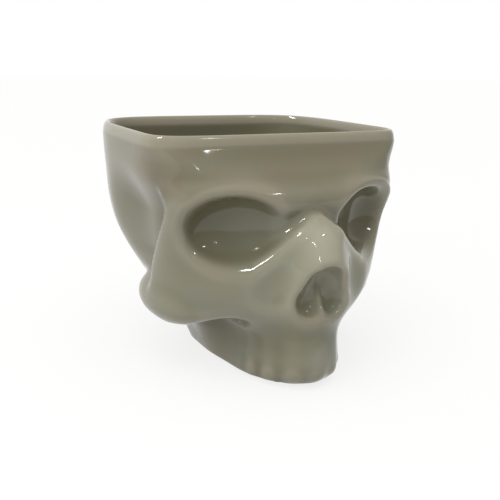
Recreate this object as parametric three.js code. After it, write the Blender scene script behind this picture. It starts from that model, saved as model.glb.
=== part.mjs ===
// Skull shaped candy bowl. One slip cast, glazed ceramic skull without its lower jaw, cut off flat
// above the brow and open at the top, stands on four rubber pads under its unglazed foot.
// Millimetres, +Z up. The face looks along -Y and the skull is the same on both sides of X = 0.
// While it is shaped, y is measured from the plane of the outer rims of the eye sockets and z from
// the foot. At the end the bowl is moved so that the origin is under the middle of its box.
import * as THREE from 'three';

// Casting as a whole
const castingHeight = 122;
const rimWidth = 143;
const rimBack = 121;
const wall = 5;
const floorThickness = 7;
const floorRound = 9;
const rimRise = 6;
const footEdge = 1.5;

// Eye sockets, each an egg shaped hollow that looks forward and outward. The egg's middle lies in
// front of the wall, so the hollow is widest at its mouth. Its floor is flattened and looks further
// outward.
const socketWidth = 57;
const socketHeight = 38.5;
const socketDepth = 34;
const socketLift = 17;
const socketFloor = 12.5;
const socketFloorRound = 9;
const socketFloorTurn = 37;
const socketSpacing = 77;
const socketUp = 77;
const socketForward = 8;
const socketRound = 6;
const socketTurn = 29;
const socketRoll = -10;

// Pear shaped opening of the nose, two lower hollows and one upper
const nostrilWidth = 18.6;
const nostrilHeight = 19;
const nostrilDepth = 16;
const nostrilSpacing = 14.4;
const nostrilUp = 46;
const nostrilRoll = 20;
const nostrilTopWidth = 17;
const nostrilTopHeight = 20;
const nostrilTopUp = 54;
const nostrilForward = 38;
const nostrilRound = 3;

// Teeth, only hinted at by soft ribs round the dental arch
const toothPitch = 9.5;
const toothRelief = 0.4;

// Softness of the joins between the masses
const browBlend = 6;
const cheekBlend = 5;
const cheekEdgeRound = 11;
const cheekHollowRound = 7;
const jawBlend = 15;
const noseBlend = 5;
const flankBlend = 8;
const lipBlend = 7;
const maskTopRound = 14;
const jawTopRound = 14;

// Pads
const padDiameter = 10;
const padThickness = 1.5;
const padBevel = 0.5;
const padInset = 5;
const padSpacings = { front: 22, back: 35 };

// Lengths that the shares below follow
const across = rimWidth / 2;
const along = rimBack;
const up = castingHeight;

// Profiles of the cranium: share of the height, then share of the length named in the comment
// half width, of half the rim's width
const craniumHalfShares = [
  [0, 0.385], [0.148, 0.54], [0.262, 0.685], [0.344, 0.776], [0.451, 0.881],
  [0.533, 0.944], [0.656, 0.993], [0.779, 1.007], [1, 1.012],
];
// front, of the distance back to the rim
const craniumFrontShares = [
  [0, 0.116], [0.328, 0.066], [0.492, 0], [0.59, -0.066], [0.672, -0.124],
  [0.738, -0.157], [0.787, -0.145], [0.852, -0.074], [0.918, 0], [1, 0.058],
];
// back, of the same
const craniumBackShares = [
  [0, 0.711], [0.164, 0.785], [0.328, 0.868], [0.492, 0.942], [0.656, 0.992], [0.82, 1.012], [1, 1],
];
// squareness of the plan, as the power of a superellipse
const craniumPowerShares = [
  [0, 2.6], [0.656, 2.3], [0.787, 2.6], [0.885, 3.6], [0.95, 6], [1, 8],
];
const craniumBackPowerShares = [[0.8, 3.9], [1, 4.6]];
const craniumMiddleShare = 0.347;
const templeDepthShare = 0.12;

// Profiles of the face mask that carries brow, cheekbones and upper jaw
const maskHalfShares = [
  [0, 0.811], [0.213, 0.853], [0.262, 0.888], [0.344, 0.909], [0.492, 0.905],
  [0.615, 0.9], [0.738, 0.892], [0.902, 0.84],
];
const maskFrontShares = [
  [0, -0.17], [0.213, -0.19], [0.295, -0.215], [0.377, -0.238], [0.443, -0.234],
  [0.525, -0.19], [0.607, -0.149], [0.689, -0.124], [0.754, -0.124], [0.902, 0.041],
];
const maskPowerShares = [[0, 1.5], [0.369, 1.52], [0.492, 1.75], [0.615, 2.05], [0.779, 2.6]];
const maskDepthShares = [[0.4, 0.107], [0.52, 0.1], [0.64, 0.05], [0.75, 0.02], [0.9, 0.02]];
const maskBackPower = 2.2;
const maskMiddleShares = [[0.3, 0.248], [0.45, 0.24], [0.56, 0.19], [0.7, 0.115], [0.85, 0.09]];
const maskTopShare = 0.836;

// Lower edge of the cheekbones: height beside the jaw, dip under the cheek, rise to the arch
const cheekEdgeShares = { beside: 0.28, dip: 0.08, rise: 0.041 };

// Profiles of the dental arch
const jawHalfShares = [
  [0, 0.4], [0.04, 0.402], [0.082, 0.392], [0.14, 0.382], [0.18, 0.385], [0.213, 0.395],
  [0.262, 0.43], [0.3, 0.49], [0.35, 0.55], [0.41, 0.59],
];
const jawFrontShares = [
  [0, -0.2], [0.033, -0.235], [0.082, -0.25], [0.164, -0.243], [0.213, -0.228], [0.254, -0.22],
  [0.328, -0.228], [0.492, -0.21],
];
const jawPower = 1.9;
const jawMiddleShare = 0.116;
const jawBackShare = 0.5;
const jawTopShare = 0.41;
const toothRunShare = 0.42;

// Rounded masses: place and half sizes, each a share of across, along and up
const archShares = { place: [0.699, 0.314, 0.291], size: [0.238, 0.223, 0.111] };
const bridgeShares = { place: [0, -0.149, 0.602], size: [0.14, 0.091, 0.119], tip: -36 };
const noseShares = { place: [0, -0.223, 0.533], size: [0.154, 0.07, 0.123], tip: -45 };
const flankShares = { place: [0.189, -0.124, 0.529], size: [0.336, 0.0785, 0.0943], turn: 29, roll: -32 };
const sideShares = { place: [0.119, -0.169, 0.459], size: [0.133, 0.0992, 0.1066] };
const lipShares = { place: [0, -0.124, 0.328], size: [0.238, 0.12, 0.1066] };

// Shallow hollow in the cheek beside the nose
const cheekHollowShares = { place: [0.378, -0.231, 0.426], size: [0.126, 0.0661, 0.1066], roll: 20 };

// Mesh density
const columns = 84;
const frontCrowding = 0.6;
const outerRows = 46;
const innerRows = 20;
const rimSteps = 6;
const footRings = 3;
const evenRounds = 24;
const padSides = 24;

const clamp = (value, low, high) => Math.min(Math.max(value, low), high);

function ease(from, to, value) {
  const t = clamp((value - from) / (to - from), 0, 1);
  return t * t * (3 - 2 * t);
}

function smoothMin(a, b, blend) {
  const h = clamp(0.5 + (0.5 * (b - a)) / blend, 0, 1);
  return b + (a - b) * h - blend * h * (1 - h);
}

const smoothMax = (a, b, blend) => -smoothMin(-a, -b, blend);

// Smooth curve through the points of a table of shares
function curveThrough(table) {
  const last = table.length - 1;
  const slope = (k) => (table[k + 1][1] - table[k][1]) / (table[k + 1][0] - table[k][0]);
  const tangents = table.map((point, k) => {
    if (k === 0) return slope(0);
    if (k === last) return slope(last - 1);
    const before = point[0] - table[k - 1][0];
    const after = table[k + 1][0] - point[0];
    return (slope(k - 1) * after + slope(k) * before) / (before + after);
  });
  return (share) => {
    const at = clamp(share, table[0][0], table[last][0]);
    let i = 0;
    while (i < last - 1 && at > table[i + 1][0]) i += 1;
    const span = table[i + 1][0] - table[i][0];
    const t = (at - table[i][0]) / span;
    const rest = 1 - t;
    const from = (1 + 2 * t) * rest * rest * table[i][1] + t * rest * rest * span * tangents[i];
    return from + t * t * ((3 - 2 * t) * table[i + 1][1] - rest * span * tangents[i + 1]);
  };
}

// Distance, near enough, to an upright wall whose plan is a superellipse
function planDistance(x, y, plan) {
  const behind = y > plan.middle;
  const depth = behind ? plan.back : plan.front;
  const n = behind ? plan.backPower : plan.frontPower;
  const u = x / plan.half;
  const v = Math.abs(y - plan.middle) / depth;
  const [un, vn] = [u ** (n - 1), v ** (n - 1)];
  const reach = Math.max(u * un + v * vn, 1e-12) ** (1 / n);
  const steep = Math.hypot(un / plan.half, vn / depth) / Math.max(reach, 1e-6) ** (n - 1);
  return (reach - 1) / Math.max(steep, 0.55 / across);
}

// Distance, near enough, to an egg that is rolled about y, then turned about z, then tipped about x
function egg(place, size, { turn = 0, tip = 0, roll = 0 } = {}) {
  const angles = [roll, turn, tip].map(THREE.MathUtils.degToRad);
  const [c, s] = [Math.cos, Math.sin].map((f) => angles.map(f));
  return (p) => {
    let [x, y, z] = [p.x - place[0], p.y - place[1], p.z - place[2]];
    [x, z] = [x * c[0] + z * s[0], z * c[0] - x * s[0]];
    [x, y] = [x * c[1] + y * s[1], y * c[1] - x * s[1]];
    [y, z] = [y * c[2] + z * s[2], z * c[2] - y * s[2]];
    const [u, v, w] = [x / size[0], y / size[1], z / size[2]];
    const k0 = Math.sqrt(u * u + v * v + w * w);
    const [a, b, e] = [u / size[0], v / size[1], w / size[2]];
    return (k0 * (k0 - 1)) / Math.max(Math.sqrt(a * a + b * b + e * e), 1e-9);
  };
}

const scaled = (shares) => [shares[0] * across, shares[1] * along, shares[2] * up];
const eggOf = (shares) => egg(scaled(shares.place), scaled(shares.size), shares);

const craniumHalf = curveThrough(craniumHalfShares);
const craniumFront = curveThrough(craniumFrontShares);
const craniumBack = curveThrough(craniumBackShares);
const craniumPower = curveThrough(craniumPowerShares);
const craniumBackPower = curveThrough(craniumBackPowerShares);
const maskHalf = curveThrough(maskHalfShares);
const maskFront = curveThrough(maskFrontShares);
const maskPower = curveThrough(maskPowerShares);
const maskDepth = curveThrough(maskDepthShares);
const maskMiddle = curveThrough(maskMiddleShares);
const jawHalf = curveThrough(jawHalfShares);
const jawFront = curveThrough(jawFrontShares);

function cranium(p) {
  const share = p.z / up;
  const temple = ease(0.66, 0.3, p.y / along) * ease(0.33, 0.5, share) * ease(0.87, 0.66, share);
  const middle = craniumMiddleShare * along;
  return planDistance(p.x, p.y, {
    half: across * craniumHalf(share) * (1 - templeDepthShare * temple),
    middle,
    front: middle - along * craniumFront(share),
    back: along * craniumBack(share) - middle,
    frontPower: craniumPower(share),
    backPower: craniumBackPower(share),
  });
}

function faceMask(p) {
  const share = p.z / up;
  const middle = along * maskMiddle(share);
  const mask = planDistance(p.x, p.y, {
    half: across * maskHalf(share),
    middle,
    front: middle - along * maskFront(share),
    back: along * maskDepth(share),
    frontPower: maskPower(share),
    backPower: maskBackPower,
  });
  const dip = cheekEdgeShares.dip * ease(0.42, 0.73, p.x / across);
  const rise = cheekEdgeShares.rise * ease(0.8, 0.92, p.x / across);
  const edge = up * (cheekEdgeShares.beside - dip + rise);
  const trimmed = smoothMax(mask, 0.9 * (edge - p.z), cheekEdgeRound);
  return smoothMax(trimmed, p.z - maskTopShare * up, maskTopRound);
}

function dentalArch(p, fine) {
  const share = p.z / up;
  const middle = jawMiddleShare * along;
  const front = middle - along * jawFront(share);
  const half = across * jawHalf(share);
  const plan = { half, middle, front, back: wall, frontPower: jawPower, backPower: jawPower };
  let arch = planDistance(p.x, Math.min(p.y, middle), plan);
  if (fine) {
    const turn = Math.atan2(p.x, middle - p.y);
    const ribs = Math.cos((2 * Math.PI * turn * toothRunShare * across) / toothPitch);
    arch -= toothRelief * ribs * ease(0.02, 0.06, share) * ease(0.27, 0.17, share) * ease(1.3, 0.9, turn);
  }
  arch = smoothMax(arch, p.y - jawBackShare * along, jawTopRound);
  return smoothMax(arch, p.z - jawTopShare * up, jawTopRound);
}

// Eggs that are joined on: the arch of the cheekbone, the bridge and tip of the nose, its flank that
// runs down to the socket's lower rim, the side of its opening, and the upper lip
function massesJoinedOn() {
  const joins = [
    [archShares, cheekBlend], [bridgeShares, noseBlend], [noseShares, noseBlend],
    [flankShares, flankBlend], [sideShares, noseBlend], [lipShares, lipBlend],
  ];
  return joins.map(([shares, blend]) => [eggOf(shares), blend]);
}

// Pear shaped opening of the nose
function nostrils() {
  const lowerSize = [nostrilWidth / 2, nostrilDepth, nostrilHeight / 2];
  const upperSize = [nostrilTopWidth / 2, nostrilDepth, nostrilTopHeight / 2];
  const lower = egg([nostrilSpacing / 2, -nostrilForward, nostrilUp], lowerSize, { roll: nostrilRoll });
  const upper = egg([0, -nostrilForward, nostrilTopUp], upperSize);
  const shape = (p) => smoothMin(lower(p), upper(p), cheekBlend);
  return { shape, round: nostrilRound, inward: new THREE.Vector3(0, 1, 0) };
}

function socket() {
  const inwardAt = (degrees) => {
    const turn = THREE.MathUtils.degToRad(degrees);
    return new THREE.Vector3(-Math.sin(turn), Math.cos(turn), 0);
  };
  const [inward, down] = [socketTurn, socketFloorTurn].map(inwardAt);
  const mouth = new THREE.Vector3(socketSpacing / 2, -socketForward, socketUp);
  const centre = mouth.clone().addScaledVector(inward, -socketLift).toArray();
  const size = [socketWidth / 2, socketDepth, socketHeight / 2];
  const hollow = egg(centre, size, { turn: socketTurn, roll: socketRoll });
  const floor = (p) => down.x * (p.x - mouth.x) + down.y * (p.y - mouth.y) - socketFloor;
  return { shape: (p) => smoothMax(hollow(p), floor(p), socketFloorRound), round: socketRound, inward };
}

const hollows = [socket(), nostrils()];

// Field of the skull, below zero inside. Without the fine parts it shapes the inner wall, and
// without the hollows it is the unbroken wall that they are sunk into.
function skull({ fine = true, sunk = true } = {}) {
  const masses = massesJoinedOn();
  const cheekHollow = eggOf(cheekHollowShares);
  return (point) => {
    const p = { x: Math.abs(point.x), y: point.y, z: point.z };
    let d = smoothMin(cranium(p), faceMask(p), browBlend);
    d = smoothMin(d, dentalArch(p, fine), jawBlend);
    for (const [mass, blend] of masses) d = smoothMin(d, mass(p), blend);
    d = smoothMax(d, -cheekHollow(p), cheekHollowRound);
    if (sunk) for (const { shape, round } of hollows) d = smoothMax(d, -shape(p), round);
    return d;
  };
}

function basin({ sunk = true } = {}) {
  const outside = skull({ fine: false, sunk });
  return (p) => smoothMax(outside(p) + wall, floorThickness - p.z, floorRound);
}

// Vertical line inside the bowl that the rays of the mesh start from
const middleLine = craniumMiddleShare * along;

// Turns of the columns, 0 at the face, closer together there than at the back
function columnTurn(index) {
  const share = index / columns;
  return 2 * Math.PI * share - frontCrowding * Math.sin(2 * Math.PI * share);
}

// First point along a line at which a field stops being negative
function crossing(field, start, heading) {
  const at = (reach) => start.clone().addScaledVector(heading, reach);
  let [near, far] = [0, 0];
  for (let d = field(at(far)); d < 0 && far < 2 * along; d = field(at(far))) {
    near = far;
    far += Math.max(-0.6 * d, wall / 5);
  }
  for (let i = 0; i < 14; i += 1) {
    const half = (near + far) / 2;
    if (field(at(half)) < 0) near = half;
    else far = half;
  }
  return at(near);
}

// Where a ray from the middle line, turned from the face and falling, leaves a field
function rayExit(field, turn, height, fall) {
  const level = Math.cos(fall);
  const heading = new THREE.Vector3(Math.sin(turn) * level, -Math.cos(turn) * level, Math.sin(fall));
  return crossing(field, new THREE.Vector3(0, middleLine, height), heading);
}

// Moves a point of the unbroken wall, or of the inner wall behind it, down to the floor of the
// hollow that it lies over
function sink(field, p, behind) {
  const side = p.x < 0 ? -1 : 1;
  const over = hollows.find(({ shape, round }) => shape({ x: side * p.x, y: p.y, z: p.z }) < round + behind);
  if (!over) return p;
  const heading = over.inward.clone().multiply({ x: side, y: 1, z: 1 });
  return crossing((q) => -field(q), p, heading);
}

// Value and slope of a field at a point
function slopeAt(field, p) {
  const e = wall / 50;
  const off = field(p);
  const slope = new THREE.Vector3(
    field({ x: p.x + e, y: p.y, z: p.z }) - off,
    field({ x: p.x, y: p.y + e, z: p.z }) - off,
    field({ x: p.x, y: p.y, z: p.z + e }) - off,
  );
  return { off, slope: slope.divideScalar(e) };
}

// Slides a point along the surface towards a target, then takes a Newton step back onto it
function slide(field, p, target) {
  const normal = slopeAt(field, p).slope.normalize();
  const move = target.sub(p);
  const next = move.addScaledVector(normal, -move.dot(normal)).multiplyScalar(0.5).add(p);
  const { off, slope } = slopeAt(field, next);
  return next.addScaledVector(slope, -clamp(off, -wall, wall) / Math.max(slope.lengthSq(), 0.25));
}

// Evens out the rows, all but the first and the last one
function evenOut(rows, field) {
  for (let round = 0; round < evenRounds; round += 1) {
    const moved = rows.slice(1, -1).map((row, k) => row.map((p, j) => {
      const sum = rows[k][j].clone().add(rows[k + 2][j]);
      sum.add(row[(j + 1) % columns]).add(row[(j + columns - 1) % columns]);
      return slide(field, p, sum.divideScalar(4));
    }));
    moved.forEach((row, k) => { rows[k + 1] = row; });
  }
  return rows;
}

const ring = (make) => Array.from({ length: columns }, (_, j) => make(columnTurn(j)));

// Rows of the outside, from the foot's edge to the rim. The rays of the middle rows fall, so that
// they reach the undersides of the cheekbones.
function outerWall() {
  const low = footEdge;
  const high = castingHeight - rimRise;
  const unbroken = skull({ sunk: false });
  const field = skull();
  const rows = [];
  for (let i = 0; i <= outerRows; i += 1) {
    const share = i / outerRows;
    const level = low + (high - low) * share;
    const start = low + (high - low) * (1 - (1 - share) ** 2.6);
    const fall = Math.atan2(level - start, across);
    rows.push(ring((turn) => sink(field, rayExit(unbroken, turn, start, fall), 0)));
  }
  return evenOut(rows, field);
}

// Rows of the inside, from the rim down and across the floor
function innerBasin() {
  const high = castingHeight - rimRise;
  const low = castingHeight / 4;
  const unbroken = basin({ sunk: false });
  const field = basin();
  const rows = [];
  for (let i = 0; i < innerRows; i += 1) {
    const share = i / innerRows;
    const height = high + (low - high) * Math.min(share / 0.7, 1);
    const fall = (-Math.PI / 2) * Math.max((share - 0.6) / 0.4, 0);
    rows.push(ring((turn) => sink(field, rayExit(unbroken, turn, height, fall), wall)));
  }
  return evenOut(rows, field);
}

// Rounded rim between the last outer ring and the first inner one
function rimRows(outer, inner) {
  const rows = [];
  for (let i = 1; i < rimSteps; i += 1) {
    const angle = (Math.PI * i) / rimSteps;
    rows.push(outer.map((p, j) => {
      const q = p.clone().lerp(inner[j], (1 - Math.cos(angle)) / 2);
      q.z = castingHeight - rimRise + rimRise * Math.sin(angle);
      return q;
    }));
  }
  return rows;
}

// The foot's outline, drawn in a little from the wall over it
function foot() {
  const outside = skull({ fine: false, sunk: false });
  return (p) => outside(p) + footEdge;
}

// Flat foot: rings from near its middle out to its edge
function footRows() {
  const outline = foot();
  const edge = ring((turn) => rayExit(outline, turn, 0, 0));
  const rows = [];
  for (let i = 1; i <= footRings; i += 1) {
    rows.push(edge.map((p) => new THREE.Vector3(0, middleLine, 0).lerp(p, i / footRings)));
  }
  return rows;
}

function castingGeometry() {
  const outer = outerWall();
  const inner = innerBasin();
  const rows = [...footRows(), ...outer, ...rimRows(outer[outerRows], inner[0]), ...inner];
  const points = rows.flat();
  const bottomPole = points.push(new THREE.Vector3(0, middleLine, 0)) - 1;
  const topPole = points.push(rayExit(basin(), 0, castingHeight / 2, -Math.PI / 2)) - 1;
  const faces = [];
  for (let r = 0; r < rows.length - 1; r += 1) {
    for (let j = 0; j < columns; j += 1) {
      const k = (j + 1) % columns;
      const [a, b, c, d] = [r * columns + j, r * columns + k, (r + 1) * columns + k, (r + 1) * columns + j];
      if (points[a].distanceTo(points[c]) < points[b].distanceTo(points[d])) faces.push(a, b, c, a, c, d);
      else faces.push(a, b, d, b, c, d);
    }
  }
  const last = (rows.length - 1) * columns;
  for (let j = 0; j < columns; j += 1) {
    const k = (j + 1) % columns;
    faces.push(bottomPole, k, j, topPole, last + j, last + k);
  }
  const geometry = new THREE.BufferGeometry();
  geometry.setAttribute('position', new THREE.Float32BufferAttribute(points.flatMap((p) => p.toArray()), 3));
  geometry.setIndex(faces);
  geometry.computeVertexNormals();
  return geometry;
}

// Disc with a bevelled lower edge, its top face on the foot
function padGeometry() {
  const r = padDiameter / 2;
  const profile = [[0, 0], [r - padBevel, 0], [r, padBevel], [r, padThickness], [0, padThickness]];
  const disc = new THREE.LatheGeometry(profile.map(([x, y]) => new THREE.Vector2(x, y)), padSides);
  return disc.rotateX(Math.PI / 2);
}

const glaze = new THREE.MeshStandardMaterial({ color: 0x8a8270, roughness: 0.12, metalness: 0 });
const rubber = new THREE.MeshStandardMaterial({ color: 0x3a3935, roughness: 0.75, metalness: 0 });

function addPads(parent) {
  const outline = foot();
  for (const [end, heading] of [['front', -1], ['back', 1]]) {
    const x = padSpacings[end] / 2;
    const edge = crossing(outline, new THREE.Vector3(x, middleLine, 0), new THREE.Vector3(0, heading, 0));
    for (const [side, sign] of [['left', -1], ['right', 1]]) {
      const pad = new THREE.Mesh(padGeometry(), rubber);
      pad.name = `foot_pad_${end}_${side}`;
      pad.position.set(sign * x, edge.y - heading * (padInset + padDiameter / 2), 0);
      parent.add(pad);
    }
  }
}

const bowl = new THREE.Group();
const casting = new THREE.Mesh(castingGeometry(), glaze);
casting.name = 'skull_bowl';
casting.position.z = padThickness;
bowl.add(casting);
addPads(bowl);
casting.geometry.computeBoundingBox();
const middleOfBox = casting.geometry.boundingBox.getCenter(new THREE.Vector3());
bowl.position.set(0, -middleOfBox.y, 0);

export default bowl;
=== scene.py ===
"""Skull shaped candy bowl: a slip cast, glazed skull, open above the brow, on four rubber pads."""
from typing import NamedTuple

import bpy
import numpy as np
from bpy.props import FloatProperty, FloatVectorProperty, IntProperty, PointerProperty
from mathutils import Matrix, Vector


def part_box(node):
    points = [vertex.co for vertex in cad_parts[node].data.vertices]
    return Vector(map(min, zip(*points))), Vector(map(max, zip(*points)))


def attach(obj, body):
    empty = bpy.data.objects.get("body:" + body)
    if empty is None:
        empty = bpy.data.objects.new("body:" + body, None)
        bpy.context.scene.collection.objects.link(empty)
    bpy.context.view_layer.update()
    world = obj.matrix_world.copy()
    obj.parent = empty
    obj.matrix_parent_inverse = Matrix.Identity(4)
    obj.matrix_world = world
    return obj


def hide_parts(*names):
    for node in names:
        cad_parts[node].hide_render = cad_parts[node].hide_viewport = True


bl_info = {
    "name": "Skull Candy Bowl",
    "version": (1, 0, 0),
    "blender": (4, 5, 0),
    "location": "View3D > Sidebar > Candy Bowl",
    "description": "Makes a glazed, skull shaped candy bowl with its pads and a small studio",
    "category": "Object",
}

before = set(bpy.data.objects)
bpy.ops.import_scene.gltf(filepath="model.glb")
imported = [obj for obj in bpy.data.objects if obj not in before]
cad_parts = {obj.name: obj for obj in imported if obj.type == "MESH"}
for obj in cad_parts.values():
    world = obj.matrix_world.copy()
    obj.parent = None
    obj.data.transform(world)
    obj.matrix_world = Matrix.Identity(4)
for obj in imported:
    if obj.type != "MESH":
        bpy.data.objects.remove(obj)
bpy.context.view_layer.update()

MM = 0.001
CASTING = "skull_bowl"
PADS = ("foot_pad_front_left", "foot_pad_front_right", "foot_pad_back_left", "foot_pad_back_right")
INNER, RIM, OUTER = -1.0, 0.0, 1.0
WHITE = (1, 1, 1, 1)


class Egg(NamedTuple):
    """Egg shaped mass or hollow, in millimetres and degrees: its middle, its reach each way, how softly it
    joins the rest, and how far it is turned about z, tipped about x and rolled about y."""
    middle: tuple
    reach: tuple
    join: float
    turn: float = 0
    tip: float = 0
    roll: float = 0

    def distance(self, x, y, z):
        return egg(x, y, z, mm(*self.middle), mm(*self.reach), self.turn, self.tip, self.roll)


# Profiles of the skull. The first number is a share of the casting's height, the second one a share
# of half the rim's width for half widths, and of the distance back to the rim for fronts, middles and
# backs. The squares say how square the plan is at a height: 2 is an ellipse, more is squarer.
CRANIUM_HALF = [(0, 0.385), (0.148, 0.54), (0.262, 0.685), (0.344, 0.776), (0.451, 0.881),
                (0.533, 0.944), (0.656, 0.993), (0.779, 1.007), (1, 1.012)]
CRANIUM_FRONT = [(0, 0.116), (0.328, 0.066), (0.492, 0.0), (0.59, -0.066), (0.672, -0.124),
                 (0.738, -0.157), (0.787, -0.145), (0.852, -0.074), (0.918, 0.0), (1, 0.058)]
CRANIUM_BACK = [(0, 0.711), (0.164, 0.785), (0.328, 0.868), (0.492, 0.942), (0.656, 0.992),
                (0.82, 1.012), (1, 1)]
CRANIUM_SQUARE = [(0, 2.6), (0.656, 2.3), (0.787, 2.6), (0.885, 3.6), (0.95, 6), (1, 8)]
CRANIUM_BACK_SQUARE = [(0.8, 3.9), (1, 4.6)]
CRANIUM_MIDDLE = 0.347
MASK_HALF = [(0, 0.811), (0.213, 0.853), (0.262, 0.888), (0.344, 0.909), (0.492, 0.905),
             (0.615, 0.9), (0.738, 0.892), (0.902, 0.84)]
MASK_FRONT = [(0, -0.17), (0.213, -0.19), (0.295, -0.215), (0.377, -0.238), (0.443, -0.234),
              (0.525, -0.19), (0.607, -0.149), (0.689, -0.124), (0.754, -0.124), (0.902, 0.041)]
MASK_SQUARE = [(0, 1.5), (0.369, 1.52), (0.492, 1.75), (0.615, 2.05), (0.779, 2.6)]
MASK_BACK_SQUARE = 2.2
MASK_DEPTH = [(0.4, 0.107), (0.52, 0.1), (0.64, 0.05), (0.75, 0.02), (0.9, 0.02)]
MASK_MIDDLE = [(0.3, 0.248), (0.45, 0.24), (0.56, 0.19), (0.7, 0.115), (0.85, 0.09)]
JAW_HALF = [(0, 0.4), (0.04, 0.402), (0.082, 0.392), (0.14, 0.382), (0.18, 0.385), (0.213, 0.395),
            (0.262, 0.43), (0.3, 0.49), (0.35, 0.55), (0.41, 0.59)]
JAW_FRONT = [(0, -0.2), (0.033, -0.235), (0.082, -0.25), (0.164, -0.243), (0.213, -0.228),
             (0.254, -0.22), (0.328, -0.228), (0.492, -0.21)]
JAW_SQUARE = 1.9
JAW_MIDDLE = 0.116

# Near the middle line the plans are too flat to measure a distance by, so they are taken as this steep
LEAST_STEEP = 0.55

# How deep the temples are hollowed, and where that sets in from the back, from below and from above
TEMPLE_DEPTH = 0.12
TEMPLE_BACK = (0.66, 0.3)
TEMPLE_FOOT = (0.33, 0.5)
TEMPLE_TOP = (0.87, 0.66)

# The face mask's lower edge is at one height under the nose, drops towards the cheek and rises again at
# the side. Its ends and those of the dental arch are shares too, and the arch's own depth is in millimetres
MASK_EDGE = 0.28
MASK_EDGE_SLOPE = 0.9
MASK_EDGE_DROP, MASK_DROP_ACROSS = 0.08, (0.42, 0.73)
MASK_EDGE_RISE, MASK_RISE_ACROSS = 0.041, (0.8, 0.92)
MASK_TOP = 0.836
JAW_TOP = 0.41
JAW_BACK = 0.5
JAW_DEPTH = 5

# Teeth: the radius that they are counted on, where they begin over the foot, end at the roots and end
# round the arch in radians, and how much stronger they are low down
TEETH_RADIUS = 0.42
TEETH_FOOT = (0.0, 0.03)
TEETH_ROOT = (0.27, 0.17)
TEETH_BACK = (1.3, 0.9)
TEETH_EXTRA, TEETH_LOW = 1.6, (0.11, 0.05)

# How softly the main forms run into each other, in millimetres
MASK_JOIN = 6
JAW_JOIN = 15
MASK_EDGE_JOIN = 11
END_JOIN = 14
SOCKET_FLOOR_JOIN = 9
BOWL_FLOOR_JOIN = 9

# The socket's mouth lies in front of the rims by so many millimetres, its egg is rolled, and its floor
# is turned further out than the egg, in degrees
SOCKET_MOUTH_FRONT = 8
SOCKET_ROLL = -10
SOCKET_FLOOR_TURN = 8

CHEEK_ARCH = Egg((50, 38, 35.5), (17, 27, 13.5), 5)
NOSE_BRIDGE = Egg((0, -18, 73.5), (10, 11, 14.5), 5, tip=-36)
NOSE_TIP = Egg((0, -27, 65), (11, 8.5, 15), 5, tip=-45)
NOSE_FLANK = Egg((13.5, -15, 64.5), (24, 9.5, 11.5), 8, turn=29, roll=-32)
NOSE_SIDE = Egg((8.5, -20.5, 56), (9.5, 12, 13), 5)
UPPER_LIP = Egg((0, -15, 40), (17, 14.5, 13), 7)
MASSES = (CHEEK_ARCH, NOSE_BRIDGE, NOSE_TIP, NOSE_FLANK, NOSE_SIDE, UPPER_LIP)
CHEEK_HOLLOW = Egg((28, -29.5, 52), (9, 8, 13), 7, roll=20)
NOSTRIL_HIGH = Egg((0, -38, 54), (11.6, 14.8, 10.3), 3)
NOSTRIL_LOW = Egg((7.2, -38, 45.3), (9.8, 14.6, 10.3), 5, roll=20)
NOSE_INWARD = np.array([0.0, 1.0, 0.0])

# Crest from the nasal bone to the lower rim of the socket, in millimetres
CREST = ((1.2, -20.7, 81.6), (8.5, -22.9, 75.6), (25.7, -14.1, 60.2))
CREST_RADIUS = 4
CREST_JOIN = 3

# Brow: where it sets in over the socket's middle and away from the nose, then the ridge and the crease
# along the socket's edge, each with its distance from the edge, its reach and its height. All millimetres
BROW_UP = (-2, 8)
BROW_ACROSS = (20, 30)
BROW_RIDGE = (2.5, 1.6, 0.25)
BROW_CREASE = (5.5, 1.4, 0.3)

# Thin wall between the halves of the nose's opening, in millimetres. Its front edge leans back as it
# goes down from the height at which its place is given
SEPTUM_HALF = 0.5
SEPTUM_FOOT, SEPTUM_TOP, SEPTUM_BACK = 38, 64, -7
SEPTUM_FRONT, SEPTUM_FRONT_UP, SEPTUM_LEAN = -30.8, 62, 0.28
SEPTUM_EDGE_JOIN, SEPTUM_FOOT_JOIN, SEPTUM_JOIN = 1.5, 2, 1.6

# Walking along a ray, and settling points on a surface, in metres
LONGEST_RAY = 0.3
RAY_STEPS = 140
RAY_HALVINGS = 14
STEP_SHARE = 0.6
LEAST_STEP = 0.6 * MM
SLOPE_STEP = 0.1 * MM
LEAST_SLOPE_SQUARED = 0.25
LONGEST_MOVE = 5 * MM

# The grid's columns and rows crowd at the face. The inner rays start lower from row to row over a first
# share of the rows, down to a share of the height, and tip down to the floor over the last ones
FRONT_CROWDING = 0.5
FACE_CROWDING = 2.6
FOOT_BEVEL = 1.5
INNER_LOW = 0.25
INNER_SIDE = 0.7
INNER_FALL = 0.6

# The glaze follows how the wall bends over a short and a long reach in millimetres, each with its weight.
# The lip and the foot have a value of their own, and the opening of the nose is not pooled as deeply
BEND_REACHES = ((2, 0.35), (6, 1.3))
BEND_SCALE = 5 * MM
BEND_ROUNDS = 4
RIM_BEND = 0.9
NOSE_EVENNESS, NOSE_FADE = 0.85, (2, -2)

# Painted light and painted shade, besides the glaze on edges and in hollows: places painted paler where the
# bowl is to look more brightly lit, and darker (below zero, added to the pooled glaze) where it is to look
# shaded.
# The middle of the place and its reach each way, in millimetres from the foot and the socket rims, and how
# much
PAINTED_LIGHT_AND_SHADE_PLACES = {
    "nasal bone": ((0, -27, 72), (14, 12, 14), 1.1),
    "cheek beside the nose": ((20, -26, 54), (13, 14, 15), 0.3),
    "cheekbone": ((54, 0, 45), (18, 18, 14), 0.14),
    "over the cheek arch": ((66, 32, 55), (14, 26, 24), 0.2),
    "between the brows": ((0, -20, 93), (34, 14, 10), -0.75),
    "forehead": ((0, -22, 104), (70, 20, 10), -0.2),
    "socket floor": ((38, 3, 72), (20, 12, 14), -0.45),
    "beside the jaw": ((33, 12, 20), (12, 26, 14), -0.8),
}
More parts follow.
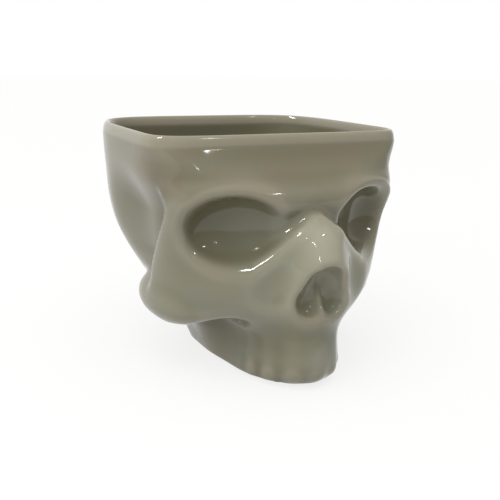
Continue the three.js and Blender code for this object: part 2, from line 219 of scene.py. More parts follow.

# Heights over the table, in metres, between which the glaze changes: warmer clouds on the forehead, painted
# light that makes the top of the lip paler, and the bare clay of the foot
FOREHEAD_FADE = (0.085, 0.125)
LIP_PAINTED_LIGHT_FADE = (0.1165, 0.121)
BARE_FADE = (2.9 * MM, 2.3 * MM)

# Area lamps: the place, the size and the watts. The softbox only lights the bowl, and the others are
# only mirrored in its glaze
SOFTBOX = "left_softbox"
LAMPS = {
    SOFTBOX: ((-0.95, -0.45, 0.55), (0.5, 0.5), 2.4),
    "crest_tube": ((-0.703, 0.033, 1.04), (0.13, 0.5), 12),
    "rim_tube": ((0.343, -0.735, 0.985), (0.16, 0.03), 0.9),
    "nose_spark": ((-0.36, -0.976, 0.73), (0.045, 0.03), 0.3),
}
LAMPS_AIM = (0, 0, 0.06)
CEILING_PLACE, CEILING_STRENGTH, CEILING_ANGLE = (-0.15, -0.2, 1.2), 1.2, 70

# The photograph's view: how far the camera is round to the left, looks down and is rolled, in degrees,
# and where it is before it goes round, in millimetres from the foot and the socket rims
CAMERA_TURNS = (28.0, 15.1, 1.4)
CAMERA_PLACE = (-21.8, -344.0, 155.8)
CAMERA_LENS, CAMERA_SENSOR = 50.4, 36


def mm(*values):
    return tuple(value * MM for value in values)


def ease(low, high, value):
    """Rises softly from 0 at low to 1 at high."""
    t = np.clip((value - low) / (high - low), 0, 1)
    return t * t * (3 - 2 * t)


def smooth_min(a, b, blend):
    h = np.clip(0.5 + 0.5 * (b - a) / blend, 0, 1)
    return b + (a - b) * h - blend * h * (1 - h)


def smooth_max(a, b, blend):
    return -smooth_min(-a, -b, blend)


def curve(at, table):
    """Smooth curve through the points of a table."""
    us, vs = np.array(table, float).T
    step = np.diff(us)
    slope = np.diff(vs) / step
    inner = (slope[:-1] * step[1:] + slope[1:] * step[:-1]) / (us[2:] - us[:-2])
    tangent = np.concatenate([slope[:1], inner, slope[-1:]])
    at = np.clip(at, us[0], us[-1])
    i = np.clip(np.searchsorted(us, at) - 1, 0, len(us) - 2)
    span = step[i]
    t = (at - us[i]) / span
    near = (2 * t ** 3 - 3 * t ** 2 + 1) * vs[i] + (t ** 3 - 2 * t ** 2 + t) * span * tangent[i]
    return near + (-2 * t ** 3 + 3 * t ** 2) * vs[i + 1] + (t ** 3 - t ** 2) * span * tangent[i + 1]


def turned(a, b, degrees):
    c, s = np.cos(np.radians(degrees)), np.sin(np.radians(degrees))
    return a * c + b * s, b * c - a * s


def plan_distance(x, y, half, middle, front, back, front_square, back_square, least):
    """Distance, near enough, to an upright wall whose plan is a superellipse."""
    behind = y > middle
    depth = np.where(behind, back, front)
    n = np.where(behind, back_square, front_square)
    u, v = x / half, np.abs(y - middle) / depth
    un, vn = u ** (n - 1), v ** (n - 1)
    reach = np.maximum(u * un + v * vn, 1e-12) ** (1 / n)
    steep = np.hypot(un / half, vn / depth) / np.maximum(reach, 1e-6) ** (n - 1)
    return (reach - 1) / np.maximum(steep, least)


def egg(x, y, z, place, size, turn=0, tip=0, roll=0):
    """Distance, near enough, to an egg that is rolled about y, turned about z, then tipped about x."""
    dx, dy, dz = x - place[0], y - place[1], z - place[2]
    dx, dz = turned(dx, dz, roll)
    dx, dy = turned(dx, dy, turn)
    dy, dz = turned(dy, dz, tip)
    u, v, w = dx / size[0], dy / size[1], dz / size[2]
    k0 = np.sqrt(u * u + v * v + w * w)
    k1 = np.sqrt((u / size[0]) ** 2 + (v / size[1]) ** 2 + (w / size[2]) ** 2)
    return k0 * (k0 - 1) / np.maximum(k1, 1e-9)


def rod(x, y, z, start, end, radius):
    """Distance to a straight rod with round ends."""
    start, along = np.array(start), np.array(end) - np.array(start)
    dx, dy, dz = x - start[0], y - start[1], z - start[2]
    t = np.clip((dx * along[0] + dy * along[1] + dz * along[2]) / (along @ along), 0, 1)
    return np.sqrt((dx - t * along[0]) ** 2 + (dy - t * along[1]) ** 2 + (dz - t * along[2]) ** 2) - radius


def nostrils(x, y, z):
    """Distance to the hollow of the nose."""
    return smooth_min(NOSTRIL_LOW.distance(x, y, z), NOSTRIL_HIGH.distance(x, y, z), NOSTRIL_LOW.join * MM)


def septum(x, y, z):
    """Distance to the thin wall inside the nose."""
    front = SEPTUM_FRONT * MM + SEPTUM_LEAN * (SEPTUM_FRONT_UP * MM - z)
    wall = np.maximum(x - SEPTUM_HALF * MM, z - SEPTUM_TOP * MM)
    wall = smooth_max(wall, front - y, SEPTUM_EDGE_JOIN * MM)
    return smooth_max(np.maximum(wall, y - SEPTUM_BACK * MM), SEPTUM_FOOT * MM - z, SEPTUM_FOOT_JOIN * MM)


class Skull:
    """The skull as a field of x, y and z in metres, below zero inside. While it is shaped, y is
    measured from the plane of the outer socket rims and z from the foot."""

    def __init__(self, sizes):
        self.s = sizes
        self.across, self.along, self.up = sizes.rim_width / 2, sizes.rim_back, sizes.height
        self.least = LEAST_STEEP / self.across
        self.middle = np.array([0, CRANIUM_MIDDLE * self.along, 0])
        turn = np.radians(sizes.socket_turn)
        self.socket_inward = np.array([-np.sin(turn), np.cos(turn), 0])
        self.socket_mouth = np.array([sizes.socket_spacing / 2, -SOCKET_MOUTH_FRONT * MM, sizes.socket_up])
        self.socket_place = self.socket_mouth - self.socket_inward * sizes.socket_lift

    def cranium(self, x, y, z):
        u = z / self.up
        temple = ease(*TEMPLE_BACK, y / self.along) * ease(*TEMPLE_FOOT, u) * ease(*TEMPLE_TOP, u)
        middle = CRANIUM_MIDDLE * self.along
        half = self.across * curve(u, CRANIUM_HALF) * (1 - TEMPLE_DEPTH * temple)
        return plan_distance(x, y, half, middle, middle - self.along * curve(u, CRANIUM_FRONT),
                             self.along * curve(u, CRANIUM_BACK) - middle, curve(u, CRANIUM_SQUARE),
                             curve(u, CRANIUM_BACK_SQUARE), self.least)

    def face_mask(self, x, y, z):
        u = z / self.up
        middle = self.along * curve(u, MASK_MIDDLE)
        mask = plan_distance(x, y, self.across * curve(u, MASK_HALF), middle,
                             middle - self.along * curve(u, MASK_FRONT), self.along * curve(u, MASK_DEPTH),
                             curve(u, MASK_SQUARE), MASK_BACK_SQUARE, self.least)
        reach = x / self.across
        drop, rise = ease(*MASK_DROP_ACROSS, reach), ease(*MASK_RISE_ACROSS, reach)
        edge = self.up * (MASK_EDGE - MASK_EDGE_DROP * drop + MASK_EDGE_RISE * rise)
        mask = smooth_max(mask, MASK_EDGE_SLOPE * (edge - z), MASK_EDGE_JOIN * MM)
        return smooth_max(mask, z - MASK_TOP * self.up, END_JOIN * MM)

    def dental_arch(self, x, y, z, teeth):
        u, middle = z / self.up, JAW_MIDDLE * self.along
        arch = plan_distance(x, np.minimum(y, middle), self.across * curve(u, JAW_HALF), middle,
                             middle - self.along * curve(u, JAW_FRONT), JAW_DEPTH * MM,
                             JAW_SQUARE, JAW_SQUARE, self.least)
        if teeth:
            turn = np.arctan2(x, middle - y)
            ribs = np.cos(2 * np.pi * turn * TEETH_RADIUS * self.across / self.s.tooth_pitch)
            shown = ease(*TEETH_FOOT, u) * ease(*TEETH_ROOT, u) * ease(*TEETH_BACK, turn)
            shown = shown * (1 + TEETH_EXTRA * ease(*TEETH_LOW, u))
            arch = arch - self.s.tooth_relief * ribs * shown
        arch = smooth_max(arch, y - JAW_BACK * self.along, END_JOIN * MM)
        return smooth_max(arch, z - JAW_TOP * self.up, END_JOIN * MM)

    def socket(self, x, y, z):
        s = self.s
        hollow = egg(x, y, z, self.socket_place, (s.socket_width / 2, s.socket_depth, s.socket_height / 2),
                     turn=s.socket_turn, roll=SOCKET_ROLL)
        turn = np.radians(s.socket_turn + SOCKET_FLOOR_TURN)
        depth = (y - self.socket_mouth[1]) * np.cos(turn) - (x - self.socket_mouth[0]) * np.sin(turn)
        return smooth_max(hollow, depth - s.socket_floor, SOCKET_FLOOR_JOIN * MM)

    def fine_forms(self, d, socket, x, y, z):
        """Adds the crest beside the nose, the ridge and crease of the brow, and the wall in the nose."""
        for start, end in zip(CREST, CREST[1:]):
            d = smooth_min(d, rod(x, y, z, mm(*start), mm(*end), CREST_RADIUS * MM), CREST_JOIN * MM)
        brow = ease(*mm(*BROW_UP), z - self.s.socket_up) * ease(*mm(*BROW_ACROSS), x)
        ridge, crease = (height * np.exp(-((socket / MM - away) / reach) ** 2)
                         for away, reach, height in (BROW_RIDGE, BROW_CREASE))
        d = d + (crease - ridge) * MM * brow
        return smooth_min(d, septum(x, y, z), SEPTUM_JOIN * MM)

    def outside(self, p, fine=True, sunk=True):
        """The outer wall, with or without its fine forms, and with or without sockets and nose."""
        x, y, z = np.abs(p[..., 0]), p[..., 1], p[..., 2]
        d = smooth_min(self.cranium(x, y, z), self.face_mask(x, y, z), MASK_JOIN * MM)
        d = smooth_min(d, self.dental_arch(x, y, z, fine), JAW_JOIN * MM)
        for mass in MASSES:
            d = smooth_min(d, mass.distance(x, y, z), mass.join * MM)
        d = smooth_max(d, -CHEEK_HOLLOW.distance(x, y, z), CHEEK_HOLLOW.join * MM)
        if not sunk:
            return d
        socket = self.socket(x, y, z)
        d = smooth_max(d, -socket, self.s.socket_round)
        d = smooth_max(d, -nostrils(x, y, z), NOSTRIL_HIGH.join * MM)
        return self.fine_forms(d, socket, x, y, z) if fine else d

    def inside(self, p, sunk=True):
        """The inner wall and the bowl's floor."""
        wall = self.outside(p, fine=False, sunk=sunk) + self.s.wall
        return smooth_max(wall, self.s.floor - p[..., 2], BOWL_FLOOR_JOIN * MM)


def crossing(field, start, heading):
    """First points along lines at which a field stops being negative."""
    near = np.zeros(start.shape[:-1])
    far = near.copy()
    for _ in range(RAY_STEPS):
        d = field(start + far[..., None] * heading)
        ahead = (d < 0) & (far < LONGEST_RAY)
        if not ahead.any():
            break
        near = np.where(ahead, far, near)
        far = np.where(ahead, far + np.maximum(-STEP_SHARE * d, LEAST_STEP), far)
    for _ in range(RAY_HALVINGS):
        half = (near + far) / 2
        inside = field(start + half[..., None] * heading) < 0
        near, far = np.where(inside, half, near), np.where(inside, far, half)
    return start + near[..., None] * heading


def slope_at(field, p):
    """The field at points, and its slope there."""
    off = field(p)
    steps = [(field(p + SLOPE_STEP * axis) - off) / SLOPE_STEP for axis in np.eye(3)]
    return off, np.stack(steps, -1)


def settle(field, p):
    """Newton step of points onto the surface of a field."""
    off, slope = slope_at(field, p)
    size = np.maximum((slope * slope).sum(-1), LEAST_SLOPE_SQUARED)
    return p - slope * (np.clip(off, -LONGEST_MOVE, LONGEST_MOVE) / size)[..., None]


def even_out(rows, field, rounds):
    """Slides the points of a grid along the surface until they are spread evenly."""
    for _ in range(rounds):
        p = rows[1:-1]
        mean = (rows[:-2] + rows[2:] + np.roll(p, 1, 1) + np.roll(p, -1, 1)) / 4
        normal = slope_at(field, p)[1]
        normal /= np.maximum(np.linalg.norm(normal, axis=-1, keepdims=True), 1e-9)
        move = mean - p
        move -= normal * (move * normal).sum(-1, keepdims=True)
        rows = np.concatenate([rows[:1], settle(field, p + 0.5 * move), rows[-1:]])
    return rows


def sink(skull, field, p, behind):
    """Moves points of an unbroken wall down to the floor of the hollow that they lie over."""
    side = np.where(p[..., :1] < 0, -1.0, 1.0)
    x, y, z = np.abs(p[..., 0]), p[..., 1], p[..., 2]
    for shape, inward, softness in ((skull.socket, skull.socket_inward, skull.s.socket_round),
                                    (nostrils, NOSE_INWARD, NOSTRIL_HIGH.join * MM)):
        heading = np.concatenate([side * inward[0], np.broadcast_to(inward[1:], p.shape[:-1] + (2,))], -1)
        over = (shape(x, y, z) < softness + behind)[..., None]
        p = np.where(over, crossing(lambda q: -field(q), p, heading), p)
    return p


def fan(skull, field, turns, heights, falls):
    """Points where rays from the middle line leave a field: one row per height, one column per turn."""
    level = np.cos(falls)[:, None]
    heading = np.stack([np.sin(turns) * level, -np.cos(turns) * level,
                        np.broadcast_to(np.sin(falls)[:, None], (len(falls), len(turns)))], -1)
    start = np.broadcast_to(skull.middle + np.stack([0 * heights, 0 * heights, heights], -1)[:, None],
                            heading.shape)
    return crossing(field, start, heading)


def outer_wall(skull, turns, high):
    """Rows of the outside, from above the foot to the rim."""
    s = skull.s
    share = np.arange(s.outer_rows + 1) / s.outer_rows
    low = FOOT_BEVEL * MM
    level = low + (high - low) * share
    start = low + (high - low) * (1 - (1 - share) ** FACE_CROWDING)
    rise = np.arctan2(level - start, skull.across)
    wall = fan(skull, lambda p: skull.outside(p, sunk=False), turns, start, rise)
    return even_out(sink(skull, skull.outside, wall, 0), skull.outside, s.even_rounds)


def inner_wall(skull, turns, high):
    """Rows of the inside, from the rim down to the middle of the bowl's floor."""
    s = skull.s
    share = np.arange(s.inner_rows) / s.inner_rows
    height = high + (s.height * INNER_LOW - high) * np.minimum(share / INNER_SIDE, 1)
    fall = -np.pi / 2 * np.maximum((share - INNER_FALL) / (1 - INNER_FALL), 0)
    wall = fan(skull, lambda p: skull.inside(p, sunk=False), turns, height, fall)
    return even_out(sink(skull, skull.inside, wall, s.wall), skull.inside, s.even_rounds)


def grid_on(skull):
    """Rows of points, from the middle of the bowl's floor over the rim to the middle of the foot."""
    s = skull.s
    share = np.arange(s.columns) / s.columns
    turns = 2 * np.pi * share - FRONT_CROWDING * np.sin(2 * np.pi * share)
    high = s.height - s.rim_rise
    outer, inner = outer_wall(skull, turns, high), inner_wall(skull, turns, high)

    rim = []
    for i in range(1, s.rim_steps):
        angle = np.pi * i / s.rim_steps
        row = inner[0] + (outer[-1] - inner[0]) * (1 - np.cos(angle)) / 2
        row[:, 2] = high + s.rim_rise * np.sin(angle)
        rim.append(row)

    edge = fan(skull, lambda p: skull.outside(p, fine=False, sunk=False) + FOOT_BEVEL * MM, turns,
               np.zeros(1), np.zeros(1))[0]
    foot = [skull.middle + (edge - skull.middle) * i / s.foot_rings for i in range(s.foot_rings, 0, -1)]
    return np.concatenate([inner[::-1], rim, outer[::-1], foot])


def part_offset(sizes):
    """From the frame that the skull is shaped in to the part's own frame."""
    back = sizes.rim_back * max(share for _, share in CRANIUM_BACK)
    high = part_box(CASTING)[1]
    return np.array([0, high[1] - back, high[2] - sizes.height])


def points_of(obj):
    values = np.empty(len(obj.data.vertices) * 3, np.float32)
    obj.data.vertices.foreach_get("co", values)
    return values.reshape(-1, 3).astype(float)


def put_points(obj, points):
    obj.data.vertices.foreach_set("co", np.asarray(points, np.float32).ravel())
    obj.data.update()


def write_values(obj, name, values):
    layer = obj.data.attributes.new(name, "FLOAT", "POINT")
    layer.data.foreach_set("value", values.astype(np.float32))


def take_values(obj, name):
    """Reads values at points and removes them from the mesh."""
    values = np.empty(len(obj.data.vertices), np.float32)
    obj.data.attributes[name].data.foreach_get("value", values)
    obj.data.attributes.remove(obj.data.attributes[name])
    return values


def wrapped_ball(skull):
    """Adds a sphere, moves its points onto the skull's grid, and marks which wall each one is on."""
    s, grid = skull.s, grid_on(skull)
    rings, columns = grid.shape[:2]
    bpy.ops.object.select_all(action="DESELECT")
    bpy.ops.mesh.primitive_uv_sphere_add(segments=columns, ring_count=rings + 1, radius=s.rim_width / 2)
    bowl = bpy.context.object
    bowl.name = "skull_bowl_glazed"
    x, y, z = points_of(bowl).T
    ring = np.rint(np.arccos(np.clip(z * 2 / s.rim_width, -1, 1)) / np.pi * (rings + 1)).astype(int)
    column = np.rint(np.arctan2(y, x) / (2 * np.pi) * columns).astype(int) % columns
    middle = skull.middle + np.array([[0, 0, s.height / 2]])
    points = grid[np.clip(ring - 1, 0, rings - 1), column]
    points[ring == 0] = crossing(skull.inside, middle, np.array([[0, 0, -1.0]]))[0]
    points[ring == rings + 1] = grid[-1].mean(0)
    put_points(bowl, points)

    rim_starts = s.inner_rows
    rim_ends = rim_starts + s.rim_steps - 1
    foot_starts = rim_ends + s.outer_rows + 1
    outer = (ring > rim_ends) & (ring <= foot_starts)
    write_values(bowl, "side", np.where(ring <= rim_starts, INNER, np.where(outer, OUTER, RIM)))
    return bowl


def refine(bowl, skull):
    """Divides the faces once and settles the points on their walls. Gives the points and their walls."""
    modifier = bowl.modifiers.new("finer", "SUBSURF")
    modifier.levels = modifier.render_levels = 1
    bpy.ops.object.modifier_apply(modifier=modifier.name)
    points, side = points_of(bowl), take_values(bowl, "side")
    for wall, field in ((INNER, skull.inside), (OUTER, skull.outside)):
        mine = side == wall
        points[mine] = settle(field, settle(field, points[mine]))
    return points, side


def bend_of(field, points, reach):
    """How sharply the surface bends, above zero on ridges and below it in hollows."""
    around = sum(field(points + sign * reach * axis) for axis in np.eye(3) for sign in (-1, 1))
    return (around - 6 * field(points)) / reach ** 2 * BEND_SCALE


def spread_out(bowl, values):
    """Softens values over neighbouring points."""
    ends = np.empty(len(bowl.data.edges) * 2, np.int32)
    bowl.data.edges.foreach_get("vertices", ends)
    first, second = ends.reshape(-1, 2).T
    count = np.bincount(ends, minlength=len(values))
    for _ in range(BEND_ROUNDS):
        total = np.bincount(first, values[second], len(values))
        total = total + np.bincount(second, values[first], len(values))
        values = (values + total / count) / 2
    return values


def lay_glaze(bowl, skull, points, side):
    """Writes where the glaze is thin over edges and pooled in hollows, with painted shade added to the
    pooling, and where painted light makes it pale.
    """
    bend_with_painted_shade = np.full(len(side), RIM_BEND)
    for wall, field in ((INNER, skull.inside), (OUTER, skull.outside)):
        mine = side == wall
        bend_with_painted_shade[mine] = sum(weight * bend_of(field, points[mine], reach * MM) for reach, weight in BEND_REACHES)
    bend_with_painted_shade = spread_out(bowl, bend_with_painted_shade)
    outer = side > RIM
    folded = np.column_stack([np.abs(points[:, 0]), points[:, 1:]])
    hollow = ease(*mm(*NOSE_FADE), nostrils(*folded.T)) * outer
    bend_with_painted_shade = np.where(bend_with_painted_shade < 0, bend_with_painted_shade * (1 - NOSE_EVENNESS * hollow), bend_with_painted_shade)
    # Painted light and painted shade: places above zero are painted paler, places below zero darker through
    # the pooled glaze
    pale = np.zeros(len(bend_with_painted_shade))
    for place, reach, share in PAINTED_LIGHT_AND_SHADE_PLACES.values():
        away = (folded - mm(*place)) / mm(*reach)
        there = share * np.exp(-(away * away).sum(1)) * outer
        pale, bend_with_painted_shade = pale + np.maximum(there, 0), bend_with_painted_shade + np.minimum(there, 0)
    for name, values in (("edge", bend_with_painted_shade), ("pool", -bend_with_painted_shade), ("pale", pale)):
        write_values(bowl, name, np.clip(values, 0, 1))


class Wire:
    """A shader socket that Python's operators join with Math nodes."""

    def __init__(self, nodes, socket):
        self.nodes, self.socket = nodes, socket

    def math(self, operation, other, clamp=False):
        node = self.nodes.add("ShaderNodeMath", {"operation": operation, "use_clamp": clamp},
                              Value=[self, other])
        return Wire(self.nodes, node.outputs[0])

    def __add__(self, other):
        return self.math("ADD", other)

    def __mul__(self, other):
        return self.math("MULTIPLY", other)

    __radd__, __rmul__ = __add__, __mul__

    def held(self):
        """The value held between 0 and 1."""
        return self.math("ADD", 0.0, clamp=True)


class Nodes:
    """The nodes of one material or world."""

    def __init__(self, owner):
        self.owner = owner
        owner.use_nodes = True
        self.tree = owner.node_tree
        self.tree.nodes.clear()

    def add(self, kind, settings=None, **values):
        """Adds a node: settings first, then values or wires by socket name. Sockets of one name take
        a list."""
        node = self.tree.nodes.new(kind)
        for key, value in (settings or {}).items():
            setattr(node, key, value)
        for key, value in values.items():
            slots = [slot for slot in node.inputs if slot.name == key.replace("_", " ") and slot.enabled]
            for slot, one in zip(slots, value if isinstance(value, list) else [value]):
                if isinstance(one, Wire):
                    self.tree.links.new(one.socket, slot)
                else:
                    slot.default_value = one
        return node

    def wire(self, kind, settings=None, output=None, **values):
        """Adds a node and gives its output of a name, or else its first one in use."""
        node = self.add(kind, settings, **values)
        in_use = [socket for socket in node.outputs if socket.enabled]
        return Wire(self, node.outputs[output] if output else in_use[0])

    def ray(self, kind):
        """1 where the surface is seen by a kind of ray."""
        return self.wire("ShaderNodeLightPath", output=f"Is {kind} Ray")

    def mix(self, share, first, second):
        return self.wire("ShaderNodeMix", {"data_type": "RGBA"}, Factor=share, A=first, B=second)

    def noise(self, place, scale, detail=2.0, rough=0.5, warp=0.0):
        """Clouds, with a scale in waves per metre."""
        return self.wire("ShaderNodeTexNoise", Vector=place, Scale=scale, Detail=detail, Roughness=rough,
                         Distortion=warp)

    def spread(self, value, low, high):
        """Stretches low to high over 0 to 1, with soft ends."""
        return self.wire("ShaderNodeMapRange", {"interpolation_type": "SMOOTHSTEP"}, Value=value,
                         From_Min=low, From_Max=high)

    def close(self, shader):
        world = isinstance(self.owner, bpy.types.World)
        self.add("ShaderNodeOutputWorld" if world else "ShaderNodeOutputMaterial", Surface=shader)
        return self.owner


def rgba(colour):
    return (*colour, 1.0)


def glaze_finish(look):
    """Glossy glaze that thins over edges and pools in hollows, with painted shade added to the pooling,
    painted light on the lip, the nose and the cheeks, and bare clay under the foot.
    """
    n = Nodes(bpy.data.materials.new("olive_grey_glaze"))
    place = n.wire("ShaderNodeTexCoord", output="Object")
    edge, pool, pale = (n.wire("ShaderNodeAttribute", {"attribute_name": name}, output="Fac")
                        for name in ("edge", "pool", "pale"))
    height = n.wire("ShaderNodeSeparateXYZ", output="Z", Vector=place)

    cloud = n.spread(n.noise(place, 22, warp=0.3), 0.40, 0.66)
    blotch = n.spread(n.noise(place, 48, detail=3, rough=0.55), 0.42, 0.66)
    fleck = n.spread(n.noise(place, 900, rough=0.6), 0.62, 0.8)
    upper = n.spread(height + n.noise(place, 14) * 0.04, *FOREHEAD_FADE)
    lip = n.spread(height, *LIP_PAINTED_LIGHT_FADE)
    bare = n.spread(height + n.noise(place, 300) * 0.0006, *BARE_FADE)

    colour = n.mix(upper * 0.7, rgba(look.green), rgba(look.warm))
    colour = n.mix(cloud, rgba(look.body), colour)
    colour = n.mix(blotch * 0.35, colour, rgba(look.green))
    # Pooled glaze in hollows, with painted shade
    colour = n.mix((pool * 0.5).held(), colour, rgba(look.pooled))
    # Thin glaze over edges, and painted light along the top of the lip
    colour = n.mix((edge * 0.6 + lip * 0.95).held(), colour, rgba(look.thin))
    # Painted light on the nose, beside it, on the cheekbones and over the cheek arches
    colour = n.mix(pale, colour, rgba(look.pale))
    colour = n.mix(fleck * 0.08, colour, rgba(look.pooled))
    colour = n.mix(bare, colour, rgba(look.clay))

    waves = n.wire("ShaderNodeBump", Strength=0.25, Distance=0.0009, Height=n.noise(place, 30))
    peel = n.wire("ShaderNodeBump", Strength=0.14, Distance=0.00008, Height=n.noise(place, 420),
                  Normal=waves)
    grit = n.wire("ShaderNodeBump", Strength=bare * 0.6, Distance=0.0002,
                  Height=n.noise(place, 2600, detail=3, rough=0.7), Normal=peel)
    rough = 0.08 + 0.05 * blotch + 0.7 * bare
    return n.close(n.wire("ShaderNodeBsdfPrincipled", Base_Color=colour, Roughness=rough, Normal=grit,
                          IOR=1.45))


def rubber_finish(look):
    """Matte rubber with dust in its pores."""
    n = Nodes(bpy.data.materials.new("pad_rubber"))
    place = n.wire("ShaderNodeTexCoord", output="Object")
    dust = n.spread(n.noise(place, 800, detail=3, rough=0.6), 0.5, 0.75)
    colour = n.mix(dust * 0.35, rgba(look.rubber), rgba(look.dust))
    pores = n.wire("ShaderNodeBump", Strength=0.5, Distance=0.00012,
                   Height=n.noise(place, 2200, detail=3, rough=0.7))
    return n.close(n.wire("ShaderNodeBsdfPrincipled", Base_Color=colour, Roughness=0.62 + 0.2 * dust,
                          Normal=pores))


def floor_finish(look):
    """Pale floor that a camera or a shiny surface sees as white where no shadow lies on it. To other rays
    it is greyer, so that it throws less light up at the bowl."""
    n = Nodes(bpy.data.materials.new("studio_floor"))
    seen = (n.ray("Camera") + n.ray("Glossy") + n.ray("Transmission")).held()
    grain = n.spread(n.noise(n.wire("ShaderNodeTexCoord", output="Object"), 180, detail=3), 0.3, 0.7)
    pale = n.mix(grain * 0.02, rgba(look.floor), (0.8, 0.8, 0.8, 1))
    lit = n.wire("ShaderNodeBsdfPrincipled", Base_Color=n.mix(seen, (0.6, 0.6, 0.6, 1), pale), Roughness=0.9)
    white = n.wire("ShaderNodeEmission", Color=WHITE, Strength=1.0)
    return n.close(n.wire("ShaderNodeMixShader", Fac=seen * 0.8, Shader=[lit, white]))


def studio_world():
    """White behind the bowl, and dimmer where a shiny surface mirrors the open room in front of it."""
    n = Nodes(bpy.data.worlds.new("studio_world"))
    heading = n.wire("ShaderNodeTexCoord", output="Generated")
    back, over, left = (n.spread(n.wire("ShaderNodeSeparateXYZ", output=axis, Vector=heading), low, high)
                        for axis, low, high in (("Y", -0.1, 0.6), ("Z", 0.1, 0.8), ("X", 0.7, -0.8)))
    shiny = (n.ray("Glossy") + n.ray("Transmission")).held()
    soft = n.wire("ShaderNodeBackground", Color=(1, 0.995, 0.95, 1), Strength=0.3 + 0.36 * over + 0.3 * left)
    room = n.wire("ShaderNodeBackground", Color=WHITE, Strength=0.32 + 0.68 * back)
    white = n.wire("ShaderNodeBackground", Color=WHITE, Strength=1.0)
    sky = n.wire("ShaderNodeMixShader", Fac=shiny, Shader=[soft, room])
    return n.close(n.wire("ShaderNodeMixShader", Fac=n.ray("Camera"), Shader=[sky, white]))


def length(name, description, default):
    return FloatProperty(name=name, description=description, default=default, min=0,
                         subtype="DISTANCE", unit="LENGTH")


def tint(name, description, default):
    return FloatVectorProperty(name=name, description=description, default=default, size=3,
                               min=0, max=1, subtype="COLOR")


def count(name, description, default, least):
    return IntProperty(name=name, description=description, default=default, min=least)


class BowlSizes(bpy.types.PropertyGroup):
    """Sizes of the bowl, and of the grid that it is made from"""
    height: length("Height", "From the foot to the top of the rim", 122 * MM)
    rim_width: length("Rim width", "Across the rim", 143 * MM)
    rim_back: length("Rim back", "From the socket rims back to the rim", 121 * MM)
    wall: length("Wall", "Thickness of the cast wall", 5 * MM)
    floor: length("Floor", "Thickness of the floor", 7 * MM)
    rim_rise: length("Rim rise", "Height of the rounded lip", 6 * MM)
    socket_width: length("Socket width", "Width of the egg that hollows a socket", 57 * MM)
    socket_height: length("Socket height", "Height of that egg", 38.5 * MM)
    socket_floor: length("Socket floor", "Depth of the socket's flattened floor", 12.5 * MM)
    socket_depth: length("Socket depth", "Half the depth of that egg", 34 * MM)
    socket_lift: length("Socket lift", "How far the egg's middle stands in front of the wall", 17 * MM)
    socket_spacing: length("Socket spacing", "Between the middles of the sockets", 77 * MM)
    socket_up: length("Socket place", "Height of the sockets over the foot", 77 * MM)
    socket_round: length("Socket edge", "Softness of the sockets' edges", 5 * MM)
    socket_turn: FloatProperty(name="Socket turn", default=29,
                               description="How far the sockets look outward, in degrees")
    tooth_pitch: length("Tooth pitch", "From tooth to tooth round the arch", 9.5 * MM)
    tooth_relief: length("Tooth relief", "How far the teeth stand out", 0.2 * MM)
    columns: count("Columns", "Columns of the grid", 144, 24)
    outer_rows: count("Outer rows", "Rows of the outside", 84, 10)
    inner_rows: count("Inner rows", "Rows of the inside", 52, 10)
    rim_steps: count("Rim steps", "Steps round the lip", 10, 3)
    foot_rings: count("Foot rings", "Rings of the foot", 6, 2)
    even_rounds: count("Even rounds", "Rounds that spread the points", 40, 0)


class BowlLook(bpy.types.PropertyGroup):
    """Colours of the glaze, the clay, the pads and the floor"""
    body: tint("Body", "Glaze of ordinary thickness", (0.198, 0.186, 0.124))
    warm: tint("Warm cloud", "Browner glaze, mostly on the forehead", (0.215, 0.174, 0.116))
    green: tint("Green blotch", "Greener glaze, mostly low down", (0.182, 0.192, 0.142))
    # Pooled: thick glaze in hollows, also used as painted shade where the bowl is to look darker
    pooled: tint("Pooled", "Thick glaze in hollows", (0.116, 0.098, 0.054))
    # Thin: thin glaze over edges, also used as painted light along the top of the lip
    thin: tint("Thin", "Glaze that thins over edges", (0.31, 0.285, 0.215))
    # Pale: painted light, laid on over the nose, beside it, on the cheekbones and over the cheek arches
    pale: tint("Pale", "Glaze that runs thin over the nose and the cheeks", (0.42, 0.40, 0.31))
    clay: tint("Clay", "Bare clay under the foot", (0.62, 0.55, 0.44))
    rubber: tint("Rubber", "Pads", (0.035, 0.034, 0.032))
    dust: tint("Dust", "Dust and bloom on the pads", (0.11, 0.105, 0.095))
    floor: tint("Floor", "Studio floor", (0.9, 0.9, 0.9))


class CANDYBOWL_OT_skull(bpy.types.Operator):
    """Makes the glazed skull"""
    bl_idname = "candybowl.skull"
    bl_label = "Skull"

    def execute(self, context):
        sizes, look = context.scene.bowl_sizes, context.scene.bowl_look
        skull = Skull(sizes)
        bowl = wrapped_ball(skull)
        points, side = refine(bowl, skull)
        lay_glaze(bowl, skull, points, side)
        put_points(bowl, points + part_offset(sizes))
        bpy.ops.object.shade_smooth()
        bowl.data.materials.clear()
        bowl.data.materials.append(glaze_finish(look))
        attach(bowl, "root")
        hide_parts(CASTING)
        return {"FINISHED"}


class CANDYBOWL_OT_pads(bpy.types.Operator):
    """Gives the pads their rubber"""
    bl_idname = "candybowl.pads"
    bl_label = "Pads"

    def execute(self, context):
        rubber = rubber_finish(context.scene.bowl_look)
        for name in PADS:
            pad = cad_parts[name]
            pad.data.materials.clear()
            pad.data.materials.append(rubber)
        return {"FINISHED"}


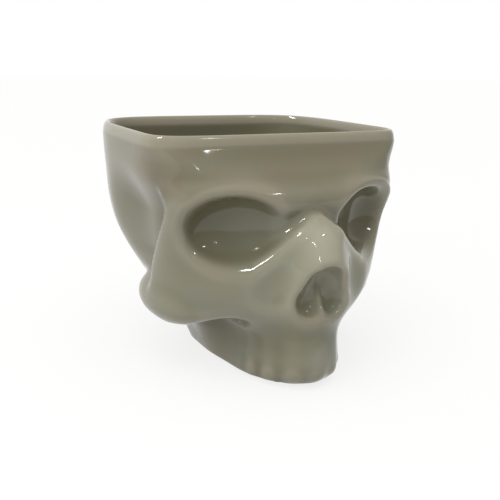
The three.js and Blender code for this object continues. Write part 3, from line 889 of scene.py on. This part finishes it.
class CANDYBOWL_OT_studio(bpy.types.Operator):
    """Makes the floor, the lamps, the world and the camera"""
    bl_idname = "candybowl.studio"
    bl_label = "Studio"

    def execute(self, context):
        bpy.ops.object.select_all(action="DESELECT")
        bpy.ops.mesh.primitive_plane_add(size=12, location=(0, 0, 0))
        floor = context.object
        floor.name = "studio_floor"
        floor.data.materials.append(floor_finish(context.scene.bowl_look))
        context.scene.world = studio_world()
        self.lamps(context)
        self.camera(context)
        context.scene.view_settings.view_transform = "Standard"
        return {"FINISHED"}

    def lamps(self, context):
        """Adds one broad soft lamp over the bowl, and the area lamps."""
        bpy.ops.object.light_add(type="SUN", location=CEILING_PLACE)
        self.aim(context.object, "soft_ceiling", CEILING_STRENGTH)
        context.object.data.angle = np.radians(CEILING_ANGLE)
        context.object.visible_glossy = False
        for name, (place, size, watts) in LAMPS.items():
            bpy.ops.object.light_add(type="AREA", location=place)
            lamp = context.object
            self.aim(lamp, name, watts)
            lamp.data.shape = "RECTANGLE"
            lamp.data.size, lamp.data.size_y = size
            lamp.visible_diffuse = name == SOFTBOX
            lamp.visible_glossy = name != SOFTBOX

    @staticmethod
    def aim(lamp, name, strength):
        """Names a lamp, sets its strength and turns it to the middle of the bowl."""
        lamp.name = name
        lamp.rotation_euler = (Vector(LAMPS_AIM) - lamp.location).to_track_quat("-Z", "Y").to_euler()
        lamp.data.energy = strength

    @staticmethod
    def camera(context):
        """Adds the camera with the photograph's view."""
        yaw, pitch, roll = np.radians(CAMERA_TURNS)
        around = np.array([[np.cos(yaw), -np.sin(yaw), 0], [np.sin(yaw), np.cos(yaw), 0], [0, 0, 1]])
        right, up = np.array([1, 0, 0]), np.array([0, np.sin(pitch), np.cos(pitch)])
        ahead = np.array([0, np.cos(pitch), -np.sin(pitch)])
        right, up = np.cos(roll) * right + np.sin(roll) * up, np.cos(roll) * up - np.sin(roll) * right
        place = np.array(CAMERA_PLACE) * MM @ around + part_offset(context.scene.bowl_sizes)
        axes = np.stack([right @ around, up @ around, -(ahead @ around)], 1)
        bpy.ops.object.camera_add()
        camera = context.object
        camera.name = "camera"
        camera.matrix_world = Matrix.Translation(Vector(place.tolist())) @ Matrix(axes.tolist()).to_4x4()
        camera.data.sensor_width, camera.data.lens = CAMERA_SENSOR, CAMERA_LENS
        camera.data.clip_start = 0.01
        context.scene.camera = camera


class CANDYBOWL_PT_panel(bpy.types.Panel):
    """Lists the pieces of the candy bowl"""
    bl_idname = "CANDYBOWL_PT_panel"
    bl_label = "Candy Bowl"
    bl_space_type = "VIEW_3D"
    bl_region_type = "UI"
    bl_category = "Candy Bowl"

    def draw(self, context):
        for operator in OPERATORS:
            self.layout.operator(operator.bl_idname)
        for group in (context.scene.bowl_sizes, context.scene.bowl_look):
            box = self.layout.box()
            for name in group.__annotations__:
                box.prop(group, name)


OPERATORS = (CANDYBOWL_OT_skull, CANDYBOWL_OT_pads, CANDYBOWL_OT_studio)
CLASSES = (BowlSizes, BowlLook) + OPERATORS + (CANDYBOWL_PT_panel,)


def register():
    for cls in CLASSES:
        bpy.utils.register_class(cls)
    bpy.types.Scene.bowl_sizes = PointerProperty(type=BowlSizes)
    bpy.types.Scene.bowl_look = PointerProperty(type=BowlLook)


def unregister():
    del bpy.types.Scene.bowl_look, bpy.types.Scene.bowl_sizes
    for cls in reversed(CLASSES):
        bpy.utils.unregister_class(cls)


def main():
    register()
    bpy.ops.candybowl.studio()
    bpy.ops.candybowl.skull()
    bpy.ops.candybowl.pads()


if __name__ == "__main__":
    main()
